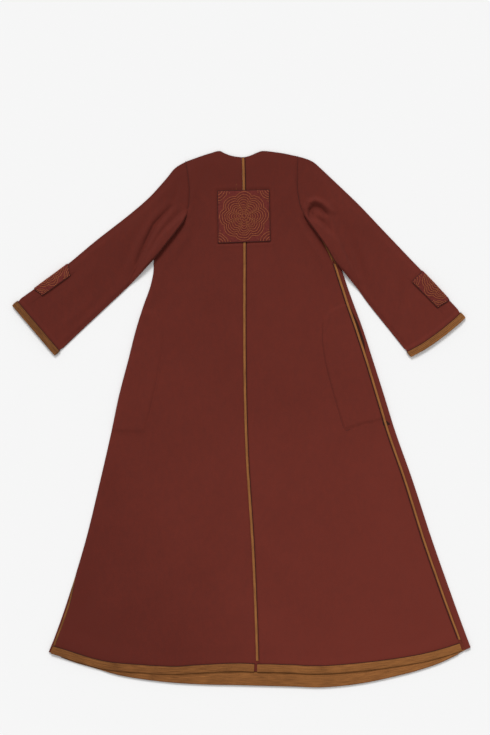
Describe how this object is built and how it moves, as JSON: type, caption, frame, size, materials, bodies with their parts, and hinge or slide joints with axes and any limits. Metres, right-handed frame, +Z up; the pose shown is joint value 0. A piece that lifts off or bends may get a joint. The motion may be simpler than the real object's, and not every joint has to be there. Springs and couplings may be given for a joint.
{
  "type": "galabeya",
  "caption": "Long flared robe of double-faced cloth laid flat with its back up: narrow shoulders, long sleeves, turned-up hems, stitched squares.",
  "frame": {"origin": "on the surface the robe lies on, under the middle of its bounding box", "axes": "+X to the right of the back as seen from above, +Y from the hem towards the neck, +Z up from the surface"},
  "size_m": [1.2146, 1.4184, 0.0113],
  "materials": {
    "robe": "brushed burgundy-brown outer face of the double-faced cloth",
    "reverse": "heathered ochre inner face of the cloth, with fine streaks",
    "patch": "burgundy-brown squares with dense ochre stitching",
    "pocket": "dark brown cotton of the pocket bags"
  },
  "bodies": {
    "root": {"back_left": "robe", "back_right": "robe", "front": "robe", "seam_centre": "reverse", "seam_left": "reverse", "seam_right": "reverse", "hem_back_left": "reverse", "hem_back_right": "reverse", "hem_front": "reverse", "pocket_left": "pocket", "pocket_right": "pocket", "patch_back": "patch", "sleeve_left": "robe", "cuff_left": "reverse", "patch_sleeve_left": "patch", "sleeve_right": "robe", "cuff_right": "reverse", "patch_sleeve_right": "patch"}
  },
  "joints": []
}
